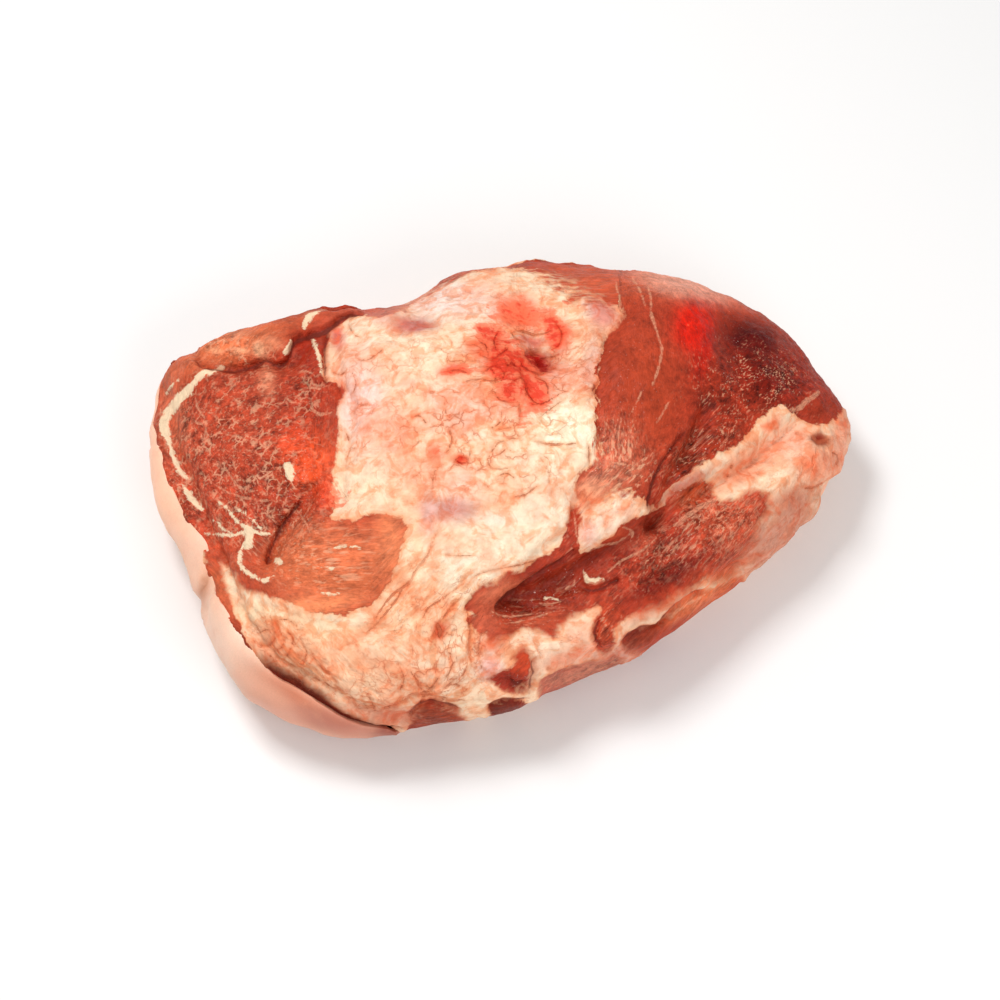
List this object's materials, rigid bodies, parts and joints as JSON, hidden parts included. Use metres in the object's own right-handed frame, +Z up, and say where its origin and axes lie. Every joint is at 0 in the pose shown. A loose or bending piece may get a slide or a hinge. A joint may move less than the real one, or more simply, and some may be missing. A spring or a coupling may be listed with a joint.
{
  "type": "skin-on pork shoulder",
  "caption": "Raw boned pork shoulder with the skin on, lying on its rind: an uneven oval loaf of lean and fat, thick at the collar end and narrow at the shank end.",
  "frame": {"origin": "on the table, under the middle of the joint's outline box", "axes": "+X along the joint from the thick collar end to the narrow shank end, +Y towards the upper long side as it lies, +Z up from the rind to the meat side"},
  "size_m": [0.3699, 0.2675, 0.1026],
  "materials": {
    "raw_pork": "moist satin: brownish-red lean with cream fat, and pale pink rind underneath"
  },
  "bodies": {
    "root": {"pork_shoulder": "raw_pork"}
  },
  "joints": []
}
